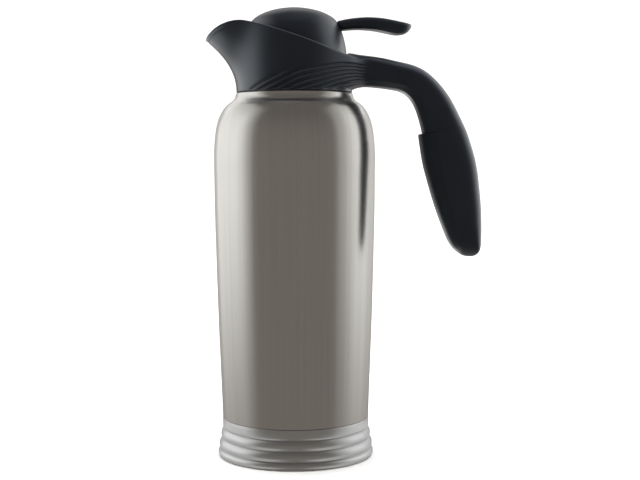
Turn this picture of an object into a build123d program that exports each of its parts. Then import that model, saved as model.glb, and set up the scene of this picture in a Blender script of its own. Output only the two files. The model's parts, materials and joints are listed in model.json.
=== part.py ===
from build123d import *
import math
import os

# Thermal carafe with a flip lid, in millimetres.  +Z is up, the spout points to -X and the handle to +X.
# The origin is the centre of the foot pad's underside.

# ---- flask: driving sizes ----
BODY_FOOT_R = 50.8        # steel body where it meets the base ring
BODY_MAX_R = 55.6         # widest radius of the steel body
BODY_MAX_Z = 198.0
NECK_R = 39.8             # short steel neck below the collar
NECK_TOP_Z = 250.9
STEEL = 0.7               # wall of both steel vessels
VACUUM_GAP = 4.5
THREAD_R = 34.0           # rolled neck that the head screws on
MOUTH_Z = 263.0
MOUTH_R = 31.0            # bore of the mouth
INNER_FLOOR_Z = 17.0
INNER_CORNER_R = 10.0

# ---- base: driving sizes ----
BASE_TOP_Z = 27.0
SEAM = 0.25               # visible parting gap between base ring and body
BASE_BORE_R = 49.3
RIB_GROOVE_Z = (19.4, 12.5, 5.4)
RIB_GROOVE_R = (50.2, 51.3, 52.5)
RIB_PEAK_R = (52.1, 53.35, 54.05)
RIB_PEAK_SHARE = 0.62     # how far down a rib its widest line lies
RING_BOTTOM_Z = 0.6
RING_BOTTOM_R = 53.0
FOOT_R = 47.0
FOOT_T = 2.2

# ---- pour head: driving sizes ----
COLLAR_R = 39.2
COLLAR_Z = 251.3
COLLAR_WALL = 2.0
SPOUT_TIP_X = -61.6
SPOUT_TIP_Z = 287.6
SPOUT_SHARPNESS = 20      # a higher power makes a narrower beak
SPOUT_FLARE = 2.25        # power by which the beak grows with height
SPOUT_STEPS = 6           # lofted sections between the foot of the beak and its lip
TAIL_REACH = 11.6         # how far the collar's back grows towards the arm
TAIL_SHARPNESS = 14
CREST_Z = 298.7           # highest line of the spout's cheeks
RIM_CLEAR = 4.0           # how far the lofts reach above the crest before they are trimmed
ARM_UNDER_Z = 254.9
ARM_HALF_W = 13.0
GRIP_HALF_W = 13.6
GRIP_LAP = 0.2            # the grip's end stands this far proud of the arm's sides
CROWN = 2.9
PAD_GAP = 0.2

# ---- neck insert ----
INSERT_LEDGE = 0.25       # shoulder in the collar that the insert is pushed up against
THREAD_CLEARANCE = 0.35
FLOOR_T = 3.5
SEAT_HOLE_R = 24.0
SEAT_W = 2.8
SEAT_H = 1.5
GASKET_T = 1.8
SEAL_GAP = 0.1

# ---- lid and hinge ----
DOME_TOP_Z = 309.5
DOME_BOTTOM_Z = 273.4
DOME_R = 36.4
DOME_WALL = 2.2
PIN_X = 40.0
PIN_Z = 274.4
PIN_R = 1.5
PIN_HALF_L = 10.4
PIN_RUNNING = 0.06
KNUCKLE_R = 3.3
LUG_HALF_W = 7.2
SPRING_HALF_W = 2.7
POCKET_GAP = 0.45
WIRE_R = 0.4
SPRING_SLACK = 0.25       # between the coil and the pin
SPRING_TURNS = 3.25
SPRING_PITCH = 0.95
SPRING_LID_LEG = 6.3
SPRING_HEAD_LEG = 5.6
LEVER_CREST_Z = 302.5
LEVER_TIP_X = 80.5
LEVER_ROOT_HALF_W = 8.0
LEVER_HALF_W = 9.5
LEVER_SEAM = 0.2
TONGUE_HALF_W = 6.5
TONGUE_Z = 294.3
TONGUE_T = 4.6
SHELF_T = 2.4
FIT = 0.15                # clearance round the lever's tongue
SCREW_R = 1.5
SCREW_BITE = 3.8          # length of thread inside the tongue
SCREW_HEAD_R = 2.8
SCREW_HEAD_T = 1.8
LEVER_SCREW_X = 25.0
LEVER_SCREW_Y = 4.0
PLUG_T = 2.4
NOSE_R = 22.6
SEAL_W = 5.0
SEAL_T = 2.1


# ---------------------------------------------------------------- helpers
def outline(*edges):
    return make_face(Wire(edges))


def turned(face):
    """A face drawn in X and Z, turned about the carafe's axis."""
    return revolve(face, Axis.Z)


def at_side(points):
    """(x, z) pairs as points in the plane y = 0."""
    return [Vector(x, 0, z) for x, z in points]


def poly(points):
    return make_face(Polyline(*at_side(points), close=True))


def disc(radius, low, high, bore=0.0):
    return turned(poly([(bore, low), (radius, low), (radius, high), (bore, high)]))


def block(x0, x1, half_y, z0, z1):
    return Pos((x0 + x1) / 2, 0, (z0 + z1) / 2) * Box(x1 - x0, 2 * half_y, z1 - z0)


def rod(radius, x, z, y0, y1):
    """A cylinder along Y."""
    return Pos(x, (y0 + y1) / 2, z) * Rot(90, 0, 0) * Cylinder(radius, y1 - y0)


def inset(points, distance):
    """Points moved towards the axis, square to the line through their neighbours."""
    moved = []
    for i, (r, z) in enumerate(points):
        r0, z0 = points[max(i - 1, 0)]
        r1, z1 = points[min(i + 1, len(points) - 1)]
        length = math.hypot(r1 - r0, z1 - z0)
        moved.append((r - distance * (z1 - z0) / length, z + distance * (r1 - r0) / length))
    return moved


def smooth(points, start, end):
    tangents = [Vector(start[0], 0, start[1]), Vector(end[0], 0, end[1])]
    return Edge.make_spline(at_side(points), tangents=tangents)


def line(a, b):
    return Edge.make_line(Vector(a[0], 0, a[1]), Vector(b[0], 0, b[1]))


def arc(a, b, c):
    return Edge.make_three_point_arc(*at_side([a, b, c]))


UP = (0, 1)


# ---------------------------------------------------------------- flask
def body_side():
    rise = BODY_MAX_Z - BASE_TOP_Z
    bulge = BODY_MAX_R - BODY_FOOT_R
    return [
        (BODY_FOOT_R, BASE_TOP_Z + SEAM),
        (BODY_FOOT_R + 0.44 * bulge, BASE_TOP_Z + 0.34 * rise),
        (BODY_FOOT_R + 0.79 * bulge, BASE_TOP_Z + 0.67 * rise),
        (BODY_MAX_R, BODY_MAX_Z),
    ]


def body_shoulder():
    step = BODY_MAX_R - NECK_R
    rise = NECK_TOP_Z - 1.2 - BODY_MAX_Z
    return [
        (BODY_MAX_R, BODY_MAX_Z),
        (NECK_R + 0.972 * step, BODY_MAX_Z + 0.398 * rise),
        (NECK_R + 0.873 * step, BODY_MAX_Z + 0.637 * rise),
        (NECK_R + 0.646 * step, BODY_MAX_Z + 0.795 * rise),
        (NECK_R + 0.31 * step, BODY_MAX_Z + 0.902 * rise),
        (NECK_R + 0.095 * step, BODY_MAX_Z + 0.957 * rise),
        (NECK_R, BODY_MAX_Z + rise),
    ]


def outer_shell():
    side = body_side()
    shoulder = body_shoulder()
    side_in = inset(side, STEEL)
    shoulder_in = inset(shoulder, STEEL)
    side_in[0] = (BODY_FOOT_R - STEEL, side[0][1] + STEEL)
    side_in[-1] = shoulder_in[0] = (BODY_MAX_R - STEEL, BODY_MAX_Z)
    shoulder_in[-1] = (NECK_R - STEEL, shoulder[-1][1])
    foot_r = BASE_BORE_R - 0.1
    foot_in = foot_r - STEEL
    top = MOUTH_Z - STEEL
    start = (foot_r, RING_BOTTOM_Z + 2.6)
    bend = (foot_r, side[0][1])
    return turned(
        outline(
            line(start, bend),
            line(bend, side[0]),
            smooth(side, (0.06, 1), UP),
            smooth(shoulder, UP, UP),
            line(shoulder[-1], (NECK_R, NECK_TOP_Z - 0.8)),
            arc((NECK_R, NECK_TOP_Z - 0.8), (NECK_R - 0.24, NECK_TOP_Z - 0.24), (NECK_R - 0.8, NECK_TOP_Z)),
            line((NECK_R - 0.8, NECK_TOP_Z), (THREAD_R, NECK_TOP_Z)),
            line((THREAD_R, NECK_TOP_Z), (THREAD_R, top)),
            line((THREAD_R, top), (THREAD_R - STEEL, top)),
            line((THREAD_R - STEEL, top), (THREAD_R - STEEL, NECK_TOP_Z - STEEL)),
            line((THREAD_R - STEEL, NECK_TOP_Z - STEEL), (NECK_R - STEEL, NECK_TOP_Z - STEEL)),
            line((NECK_R - STEEL, NECK_TOP_Z - STEEL), shoulder_in[-1]),
            smooth(shoulder_in, UP, UP),
            smooth(side_in, (0.06, 1), UP),
            line(side_in[0], (foot_in, side_in[0][1])),
            line((foot_in, side_in[0][1]), (foot_in, start[1])),
            line((foot_in, start[1]), start),
        )
    )


def inner_line(extra):
    """Outside of the inner vessel, moved in by extra."""
    depth = STEEL + VACUUM_GAP + extra
    side = inset(body_side(), depth)
    side = [(side[0][0], INNER_FLOOR_Z + INNER_CORNER_R)] + side[1:]
    side[-1] = (BODY_MAX_R - depth, BODY_MAX_Z)
    neck = MOUTH_R + STEEL - extra
    top = side[-1][0]
    rise = NECK_TOP_Z - BODY_MAX_Z
    shoulder = [
        (top, BODY_MAX_Z),
        (neck + 0.86 * (top - neck) - 0.3 * extra, BODY_MAX_Z + 0.52 * rise - 0.4 * extra),
        (neck + 0.50 * (top - neck) - 0.2 * extra, BODY_MAX_Z + 0.74 * rise - 0.8 * extra),
        (neck + 0.10 * (top - neck), BODY_MAX_Z + 0.85 * rise - 0.8 * extra),
        (neck, BODY_MAX_Z + 0.94 * rise),
    ]
    return side, shoulder, neck


def vessel_outline(extra, rim):
    """Closed outline of the inner vessel's outside (extra 0) or inside (extra = wall)."""
    side, shoulder, neck = inner_line(extra)
    floor = INNER_FLOOR_Z + extra
    corner = INNER_CORNER_R - extra
    lift = corner * (1 - math.sqrt(0.5))
    wall_r = side[0][0]
    bend = (wall_r - corner, floor)
    low = (wall_r, floor + corner)
    return outline(
        line((0, floor), bend),
        arc(bend, (wall_r - lift, floor + lift), low),
        smooth([low] + side[1:], (0.03, 1), UP),
        smooth(shoulder, UP, UP),
        line(shoulder[-1], (neck, rim)),
        line((neck, rim), (0, rim)),
        line((0, rim), (0, floor)),
    )


def inner_flask():
    wall = turned(vessel_outline(0.0, MOUTH_Z)) - turned(vessel_outline(STEEL, MOUTH_Z + 1))
    lip = disc(THREAD_R, MOUTH_Z - STEEL, MOUTH_Z, MOUTH_R)
    return wall + lip


def foil_wrap():
    """Radiation foil round the inner vessel, inside the vacuum."""
    side = inner_line(0.0)[0]
    thickness = 0.4
    low = side[0][1] + 6
    high = BODY_MAX_Z - 4
    gap = 0.4
    near = [(side[0][0] + gap, low)] + [(r + gap, z) for r, z in side[1:-1]] + [(side[-1][0] + gap, high)]
    far = [(r + thickness, z) for r, z in near]
    return turned(
        outline(
            smooth(near, (0.03, 1), UP),
            line(near[-1], far[-1]),
            smooth(far, (0.03, 1), UP),
            line(far[0], near[0]),
        )
    )


def shell_bottom():
    """Welded bottom of the vacuum space, with a dimple for the sealing bead."""
    radius = BASE_BORE_R - 0.1 - STEEL
    low = RING_BOTTOM_Z + 5.8
    rise = 2.0
    high = low + STEEL
    return turned(
        poly(
            [
                (1.2, low + rise),
                (6, low + rise),
                (7, low),
                (radius, low),
                (radius, high + 3),
                (radius - STEEL, high + 3),
                (radius - STEEL, high),
                (6.6, high),
                (5.6, high + rise),
                (1.2, high + rise),
            ]
        )
    )


def vacuum_seal():
    low = RING_BOTTOM_Z + 5.8 + 2.0
    return disc(3.5, low - 1.2, low)


def getter():
    return disc(9, INNER_FLOOR_Z - 3.5, INNER_FLOOR_Z)


def base_ring():
    """Polished foot ring: a flush band above three rounded ribs."""
    top_r = BODY_FOOT_R + 0.1
    grooves = list(zip(RIB_GROOVE_R, RIB_GROOVE_Z)) + [(RING_BOTTOM_R, RING_BOTTOM_Z)]
    band_low = grooves[0][1] + 1.6
    edges = [
        line((BASE_BORE_R, BASE_TOP_Z), (top_r, BASE_TOP_Z)),
        line((top_r, BASE_TOP_Z), (top_r, band_low)),
        arc((top_r, band_low), (top_r - 0.18, band_low - 0.9), grooves[0]),
    ]
    for peak, high, low in zip(RIB_PEAK_R, grooves, grooves[1:]):
        widest = high[1] + RIB_PEAK_SHARE * (low[1] - high[1])
        edges.append(arc(high, (peak, widest), low))
    cup_r = FOOT_R + 4.3
    ledge = RING_BOTTOM_Z + 2.4
    edges += [
        line(grooves[-1], (cup_r, RING_BOTTOM_Z)),
        line((cup_r, RING_BOTTOM_Z), (cup_r, ledge)),
        line((cup_r, ledge), (BASE_BORE_R, ledge)),
        line((BASE_BORE_R, ledge), (BASE_BORE_R, BASE_TOP_Z)),
    ]
    return turned(outline(*edges))


def base_cup():
    """Moulded closure under the steel bottom; the foot pad is glued in its recess."""
    flange_r = FOOT_R + 4.2
    low = RING_BOTTOM_Z + 0.2
    ledge = RING_BOTTOM_Z + 2.3
    plug_r = BASE_BORE_R - 0.1 - STEEL - 0.2
    return turned(
        poly(
            [
                (0, FOOT_T),
                (FOOT_R + 0.2, FOOT_T),
                (FOOT_R + 0.2, low),
                (flange_r, low),
                (flange_r, ledge),
                (plug_r, ledge),
                (plug_r, RING_BOTTOM_Z + 5.6),
                (0, RING_BOTTOM_Z + 5.6),
            ]
        )
    )


def foot_pad():
    return disc(FOOT_R, 0, FOOT_T)


# ---------------------------------------------------------------- pour head
def plan_curve(z, radius, nose, tail=0.0):
    """Closed plan outline at height z: a circle that grows into a beak and a tail."""
    points = []
    count = 40
    for i in range(count):
        turn = 2 * math.pi * i / count
        front = ((1 + math.cos(turn)) / 2) ** SPOUT_SHARPNESS
        back = ((1 - math.cos(turn)) / 2) ** TAIL_SHARPNESS
        reach = radius + nose * front + tail * back
        points.append((-reach * math.cos(turn), reach * math.sin(turn), z))
    return Wire([Edge.make_spline([Vector(*p) for p in points], periodic=True)])


def spout_nose(z):
    """How far the beak stands out from the collar at height z."""
    reach = -SPOUT_TIP_X - COLLAR_R
    share = (z - COLLAR_Z) / (SPOUT_TIP_Z - COLLAR_Z)
    return reach * share ** SPOUT_FLARE


def spout_loft(low, wall, tail=0.0):
    """Solid inside the collar's plan, moved in by wall, from the height low to above the crest."""
    top = CREST_Z + RIM_CLEAR
    rise = SPOUT_TIP_Z - low
    heights = [low + rise * i / SPOUT_STEPS for i in range(SPOUT_STEPS)]
    heights += [SPOUT_TIP_Z, (SPOUT_TIP_Z + top) / 2, top + wall / 4]
    return loft([Face(plan_curve(z, COLLAR_R - wall, spout_nose(z), tail)) for z in heights])


def rim_profile():
    """Side view of everything above the collar's rim, to be cut away."""
    cheek = [
        (SPOUT_TIP_X, SPOUT_TIP_Z - 0.8),
        (-58.4, SPOUT_TIP_Z + 2.5),
        (-51.4, CREST_Z - 3.7),
        (-42.0, CREST_Z - 0.4),
        (-35.0, CREST_Z),
        (-27.0, CREST_Z - 1.7),
        (-3.4, 289.6),
        (26.5, 279.0),
        (40.0, 274.0),
        (56.0, 269.6),
    ]
    clear = 30
    end = cheek[-1]
    high = CREST_Z + clear
    left = SPOUT_TIP_X - clear
    low = SPOUT_TIP_Z - clear / 2
    return outline(
        Edge.make_spline(at_side(cheek)),
        line(end, (end[0], high)),
        line((end[0], high), (left, high)),
        line((left, high), (left, low)),
        line((left, low), cheek[0]),
    )


def above_rim():
    return extrude(rim_profile(), amount=80, dir=(0, 1, 0), both=True)


def collar_bore_top():
    return MOUTH_Z + SEAL_GAP * 2 + GASKET_T + FLOOR_T


def collar():
    """Outside of the collar with its beak, and the tail that runs into the arm."""
    shell = spout_loft(COLLAR_Z, 0.0, TAIL_REACH)
    back = block(COLLAR_R * 0.35, COLLAR_R * 2, COLLAR_R + 5, COLLAR_Z - 5, ARM_UNDER_Z)
    under_tail = back - disc(COLLAR_R + 0.2, COLLAR_Z - 6, CREST_Z)
    return shell - under_tail - above_rim()


def collar_hollows():
    """The bore for the neck insert, and the pouring space above it."""
    floor = collar_bore_top()
    bore = disc(COLLAR_R - COLLAR_WALL + INSERT_LEDGE, COLLAR_Z - 1, floor)
    return bore, spout_loft(floor, COLLAR_WALL)


# Handle stations: inner point, outer point, half width, power of the outer crown (2 is an ellipse).
# Each lies square to the handle's run.
ARM_STATIONS = (
    ((30.0, ARM_UNDER_Z), (30.0, 278.4), ARM_HALF_W, 5.0),
    ((45.0, ARM_UNDER_Z), (45.5, 276.7), ARM_HALF_W, 4.8),
    ((58.0, 254.7), (59.5, 275.0), ARM_HALF_W, 4.0),
    ((68.3, 253.0), (72.6, 272.2), ARM_HALF_W, 3.4),
    ((76.5, 250.1), (84.0, 268.9), ARM_HALF_W, 3.1),
    ((81.2, 244.9), (95.0, 262.0), ARM_HALF_W, CROWN),
    ((84.2, 238.6), (104.4, 251.3), ARM_HALF_W, CROWN),
    ((86.5, 231.8), (111.7, 239.1), ARM_HALF_W, CROWN),
    ((88.1, 225.1), (117.4, 227.7), ARM_HALF_W, CROWN),
    ((89.4, 214.0), (121.9, 214.3), ARM_HALF_W, CROWN),
    ((91.4, 202.5), (125.1, 202.5), ARM_HALF_W, CROWN),
)
GRIP_STATIONS = (
    ((82.0, 238.4), (104.6, 251.4), ARM_HALF_W + GRIP_LAP),
    ((84.6, 231.6), (111.9, 239.2), ARM_HALF_W + GRIP_LAP),
    ((85.9, 223.6), (117.6, 227.8), ARM_HALF_W + GRIP_LAP),
    ((86.7, 212.6), (122.1, 214.3), 13.3),
    ((88.7, 201.4), (125.2, 202.4), 13.5),
    ((92.5, 187.2), (127.5, 187.0), GRIP_HALF_W),
    ((97.1, 172.4), (128.9, 171.5), 13.3),
    ((102.3, 157.9), (129.3, 156.8), 12.8),
    ((107.1, 147.1), (128.9, 146.8), 11.6),
    ((111.1, 142.0), (127.6, 142.0), 9.6),
    ((114.9, 139.3), (125.2, 139.3), 6.2),
)
GRIP_END = (120.4, 138.0)
STEP_POINTS = ((84.6, 222.6), (118.4, 227.4))
PAD_LINE = ((98.0, 226.0), (99.0, 212.0), (102.0, 194.0), (107.0, 172.0), (111.0, 153.0), (110.0, 144.5))
PAD_TIP = (103.5, 140.0)


def station_frame(inner, outer):
    """Plane across the handle: its x is the carafe's Y, its y points to the outer side."""
    lift = Vector(outer[0] - inner[0], 0, outer[1] - inner[1])
    middle = Vector((inner[0] + outer[0]) / 2, 0, (inner[1] + outer[1]) / 2)
    across = Vector(0, 1, 0)
    return Plane(origin=middle, x_dir=across, z_dir=across.cross(lift.normalized())), lift.length / 2


def upper_half(width, depth, power):
    """Rounded outer half of a section, from +width round to -width."""
    points = []
    count = 12
    for i in range(count + 1):
        turn = math.pi * i / count
        c = math.cos(turn)
        s = math.sin(turn)
        points.append((width * math.copysign(abs(c) ** (2 / power), c), depth * abs(s) ** (2 / power)))
    return points


def section_wire(frame, points, corners):
    """Spline over the outer half, then straight runs through the corners."""
    def lift(p):
        return frame.from_local_coords(Vector(p[0], p[1], 0))

    up = frame.from_local_coords(Vector(0, 1, 0)) - frame.origin
    edges = [Edge.make_spline([lift(p) for p in points], tangents=[up, up * -1])]
    chain = [points[-1]] + corners + [points[0]]
    for a, b in zip(chain, chain[1:]):
        edges.append(Edge.make_line(lift(a), lift(b)))
    return Wire(edges)


def arm_section(inner, outer, width, crown):
    frame, depth = station_frame(inner, outer)
    bevel_w = 3.6
    bevel_h = 3.4
    corners = [
        (-width, -depth + bevel_h),
        (-width + bevel_w, -depth),
        (width - bevel_w, -depth),
        (width, -depth + bevel_h),
    ]
    return Face(section_wire(frame, upper_half(width, depth, crown), corners))


def grip_section(inner, outer, width):
    frame, depth = station_frame(inner, outer)
    upper = upper_half(width, depth, CROWN)
    lower = [(-x, -y) for x, y in upper_half(width, depth, 3.2)]
    ring = upper[:-1] + lower[:-1]
    points = [frame.from_local_coords(Vector(x, y, 0)) for x, y in ring]
    return Face(Wire([Edge.make_spline(points, periodic=True)]))


def beyond_step(side):
    """Everything on one side of the step plane: side +1 is the arm's side."""
    a, b = STEP_POINTS
    run = Vector(b[0] - a[0], 0, b[1] - a[1]).normalized()
    normal = Vector(-run.Z, 0, run.X) * side
    centre = Vector((a[0] + b[0]) / 2, 0, (a[1] + b[1]) / 2) + normal * 100
    return Plane(origin=centre, x_dir=(0, 1, 0), z_dir=normal) * Box(200, 200, 200)


def arm():
    return loft([arm_section(*s) for s in ARM_STATIONS]) & beyond_step(1)


def grip():
    end = Vertex(GRIP_END[0], 0, GRIP_END[1])
    return loft([grip_section(*s) for s in GRIP_STATIONS] + [end]) & beyond_step(-1)


def pad_zone(gap):
    """Side region of the soft pad on the grip's inner face."""
    back = [(x - gap, z) for x, z in PAD_LINE]
    tip = PAD_TIP
    return extrude(
        outline(
            Edge.make_spline(at_side(back)),
            line(back[-1], tip),
            line(tip, (70, tip[1])),
            line((70, tip[1]), (70, back[0][1])),
            line((70, back[0][1]), back[0]),
        ),
        amount=40,
        dir=(0, 1, 0),
        both=True,
    )


def hinge_pocket():
    reach = KNUCKLE_R + POCKET_GAP
    half = LUG_HALF_W + POCKET_GAP
    return block(PIN_X - 8, PIN_X + reach, half, PIN_Z - reach, CREST_Z)


def snap_bearings():
    """Blind bearings for the pin in both cheeks, open upwards so that the pin snaps in."""
    reach = PIN_HALF_L + 0.2
    bore = rod(PIN_R + PIN_RUNNING, PIN_X, PIN_Z, -reach, reach)
    throat = block(PIN_X - PIN_R + 0.25, PIN_X + PIN_R - 0.25, reach, PIN_Z, CREST_Z)
    return bore + throat


def pour_head(grip_whole):
    body = collar() + arm()
    for hollow in collar_hollows():
        body = body - hollow
    body = body - hinge_pocket()
    body = body + (grip_whole - pad_zone(0.0))
    head_leg = spring_path()[2]
    body = body - along(head_leg, 2.0, SPRING_HEAD_LEG + 0.3, WIRE_R + FIT)
    return body - snap_bearings()


def grip_pad(grip_whole):
    return grip_whole & pad_zone(PAD_GAP)


def neck_insert():
    """Threaded insert: a sleeve on the steel neck under the pouring floor and its seat."""
    outer = COLLAR_R - COLLAR_WALL + INSERT_LEDGE - 0.1
    bore = THREAD_R + THREAD_CLEARANCE
    top = collar_bore_top()
    under = top - FLOOR_T
    low = COLLAR_Z + 0.6
    seat = SEAT_HOLE_R + SEAT_W
    return turned(
        poly(
            [
                (bore, low),
                (outer, low),
                (outer, top),
                (seat + 0.8, top),
                (seat, top + SEAT_H),
                (SEAT_HOLE_R, top + SEAT_H),
                (SEAT_HOLE_R, under),
                (bore, under),
            ]
        )
    )


def mouth_gasket():
    low = MOUTH_Z + SEAL_GAP
    return disc(THREAD_R - 0.2, low, low + GASKET_T, MOUTH_R - 1.5)


def hinge_pin():
    return rod(PIN_R, PIN_X, PIN_Z, -PIN_HALF_L, PIN_HALF_L)


def spring_path():
    """Centre line of the torsion spring: a leg, the coil round the pin and a second leg."""
    span = SPRING_TURNS * SPRING_PITCH
    frame = Plane(origin=(PIN_X, -span / 2, PIN_Z), x_dir=(0, 0, 1), z_dir=(0, 1, 0))
    coil = frame.location * Helix(pitch=SPRING_PITCH, height=span, radius=PIN_R + WIRE_R + SPRING_SLACK)
    lid_leg = Edge.make_line(coil @ 0 - (coil % 0) * SPRING_LID_LEG, coil @ 0)
    head_leg = Edge.make_line(coil @ 1, coil @ 1 + (coil % 1) * SPRING_HEAD_LEG)
    return lid_leg, coil.edge(), head_leg


def lid_spring():
    """Torsion spring: one leg reaches into the dome, the other stands in the head."""
    path = Wire(spring_path())
    return sweep(Plane(origin=path @ 0, z_dir=path % 0) * RegularPolygon(WIRE_R, 6), path=path)


def along(edge, start, end, radius):
    """A straight rod round a straight edge, from start to end millimetres along it."""
    a = edge.position_at(0)
    run = edge.tangent_at(0)
    middle = a + run * ((start + end) / 2)
    return Plane(origin=middle, z_dir=run) * Cylinder(radius, end - start)


# ---------------------------------------------------------------- lid
def dome_line(depth):
    """Profile of the dome from its apex down, moved in by depth."""
    high = DOME_TOP_Z
    points = [
        (0, high),
        (14, high - 1.7),
        (24, high - 5.4),
        (29.6, high - 9.9),
        (33.0, high - 17.2),
        (35.2, high - 25.5),
        (DOME_R, DOME_BOTTOM_Z),
    ]
    moved = inset(points, -depth)
    moved[0] = (0, high - depth)
    return moved


def dome_solid(depth, bottom):
    """Solid under the dome's profile, moved in by depth, down to the height bottom."""
    points = dome_line(depth)
    low = points[-1]
    floor = DOME_BOTTOM_Z - 5
    whole = turned(
        outline(
            smooth(points, (1, 0), (0.08, -1)),
            line(low, (low[0], floor)),
            line((low[0], floor), (0, floor)),
            line((0, floor), points[0]),
        )
    )
    return whole - disc(DOME_R + 5, floor - 1, bottom)


def knuckles():
    """Two lugs behind the dome that turn on the hinge pin."""
    lugs = None
    for side in (1, -1):
        near = SPRING_HALF_W * side
        far = LUG_HALF_W * side
        low, high = min(near, far), max(near, far)
        middle = Pos((DOME_R - 2 + PIN_X) / 2, (low + high) / 2, PIN_Z - 0.3)
        plate = middle * Box(PIN_X - DOME_R + 2, high - low, 5.4)
        lug = plate + rod(KNUCKLE_R, PIN_X, PIN_Z, low, high)
        lugs = lug if lugs is None else lugs + lug
    return lugs


def screw_places():
    return [(LEVER_SCREW_X, y) for y in (-LEVER_SCREW_Y, LEVER_SCREW_Y)]


def lid_dome():
    shell = dome_solid(0, DOME_BOTTOM_Z) - dome_solid(DOME_WALL, DOME_BOTTOM_Z - 1)
    shelf = block(LEVER_SCREW_X - 5, DOME_R, TONGUE_HALF_W + 2, TONGUE_Z - SHELF_T, TONGUE_Z - FIT)
    shelf = shelf & dome_solid(DOME_WALL / 2, DOME_BOTTOM_Z)
    body = shell + shelf + (knuckles() - dome_solid(DOME_WALL, DOME_BOTTOM_Z))
    high = TONGUE_Z + TONGUE_T + FIT
    body = body - block(LEVER_SCREW_X, DOME_R, TONGUE_HALF_W + FIT, TONGUE_Z - FIT, high)
    for x, y in screw_places():
        body = body - Pos(x, y, TONGUE_Z - SHELF_T / 2) * Cylinder(SCREW_R + 0.2, SHELF_T + 2)
    body = body - rod(PIN_R + 0.02, PIN_X, PIN_Z, -LUG_HALF_W - 1, LUG_HALF_W + 1)
    lid_leg = spring_path()[0]
    return body - along(lid_leg, -0.3, SPRING_LID_LEG - 2.5, WIRE_R + FIT)


def lever_profile():
    """Side view of the blade: a low arch on top, a shallower one below and a blunt tip."""
    crest = LEVER_CREST_Z
    top = [
        (26.0, crest - 3.6),
        (38.0, crest - 0.9),
        (50.0, crest),
        (62.6, crest - 1.1),
        (72.3, crest - 3.0),
        (LEVER_TIP_X - 0.7, crest - 4.6),
    ]
    tip = (LEVER_TIP_X, crest - 6.2)
    under = [
        (LEVER_TIP_X - 7.1, crest - 11.5),
        (70.2, crest - 11.7),
        (63.6, crest - 10.6),
        (54.0, crest - 8.8),
        (44.0, crest - 8.1),
        (34.0, crest - 8.7),
        (26.0, crest - 10.1),
    ]
    return outline(
        smooth(top, (1, 0.3), (1, -0.22)),
        arc(top[-1], (LEVER_TIP_X, crest - 5.2), tip),
        arc(tip, (LEVER_TIP_X - 2.5, crest - 9.7), under[0]),
        smooth(under, (-1, -0.15), (-1, -0.25)),
        line(under[-1], top[0]),
    )


def thumb_lever():
    """Thumb blade with a tongue that goes through the dome's wall."""
    side = extrude(lever_profile(), amount=20, dir=(0, 1, 0), both=True)
    plan = Pos(0, 0, DOME_BOTTOM_Z) * extrude(lever_plan(), amount=40, dir=(0, 0, 1))
    blade = side & plan
    blade = blade - dome_solid(-LEVER_SEAM, DOME_BOTTOM_Z)
    tongue = block(LEVER_SCREW_X - 4, DOME_R, TONGUE_HALF_W, TONGUE_Z, TONGUE_Z + TONGUE_T)
    lever = blade + tongue
    for x, y in screw_places():
        hole = Cylinder(SCREW_R + 0.02, SCREW_BITE + 0.4)
        lever = lever - Pos(x, y, TONGUE_Z + SCREW_BITE / 2 - 0.2) * hole
    return lever


def lever_plan():
    """Plan of the blade: waisted at the root, wider at the thumb, rounded at the tip."""
    edge = [
        (26.0, LEVER_ROOT_HALF_W),
        (42.0, LEVER_ROOT_HALF_W),
        (60.0, LEVER_HALF_W),
        (LEVER_TIP_X - 9, LEVER_HALF_W),
        (LEVER_TIP_X + 0.9, 0.0),
    ]
    up = [Vector(x, y, 0) for x, y in edge]
    down = [Vector(x, -y, 0) for x, y in reversed(edge)]
    return make_face(
        Wire(
            [
                Edge.make_spline(up, tangents=[Vector(1, 0, 0), Vector(0, -1, 0)]),
                Edge.make_spline(down, tangents=[Vector(0, -1, 0), Vector(-1, 0, 0)]),
                Edge.make_line(down[-1], up[0]),
            ]
        )
    )


def lever_screws():
    screws = []
    for x, y in screw_places():
        under = TONGUE_Z - SHELF_T
        shank_l = SHELF_T + SCREW_BITE
        head = Pos(x, y, under - SCREW_HEAD_T / 2) * Cylinder(SCREW_HEAD_R, SCREW_HEAD_T)
        shank = Pos(x, y, under + shank_l / 2) * Cylinder(SCREW_R, shank_l)
        screws.append(head + shank)
    return Compound(children=screws)


def lid_plug():
    """Closes the dome from below; its nose hangs in the seat's hole and carries the seal."""
    low = seat_top() + SEAL_GAP
    shelf = low + SEAL_T
    rim = DOME_R - DOME_WALL - 0.3
    return turned(
        poly(
            [
                (0, low - 2.8),
                (NOSE_R - 5, low - 2.8),
                (NOSE_R - 1, low),
                (NOSE_R, shelf),
                (NOSE_R + 7, shelf),
                (NOSE_R + 8.5, DOME_BOTTOM_Z),
                (rim, DOME_BOTTOM_Z),
                (rim, DOME_BOTTOM_Z + PLUG_T),
                (0, DOME_BOTTOM_Z + PLUG_T),
            ]
        )
    )


def seat_top():
    return collar_bore_top() + SEAT_H


def lid_seal():
    low = seat_top() + SEAL_GAP
    return disc(NOSE_R + SEAL_W, low, low + SEAL_T, NOSE_R + 0.05)


def lid_foam():
    """Insulating foam inside the dome, cut out round the lever's tongue and screws."""
    gap = 0.5
    whole = dome_solid(DOME_WALL + gap, DOME_BOTTOM_Z + PLUG_T + gap)
    low = TONGUE_Z - SHELF_T - SCREW_HEAD_T - gap
    room = block(LEVER_SCREW_X - 5.5, DOME_R, TONGUE_HALF_W + 2.5, low, TONGUE_Z + TONGUE_T + 2 * gap)
    return whole - room


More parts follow.
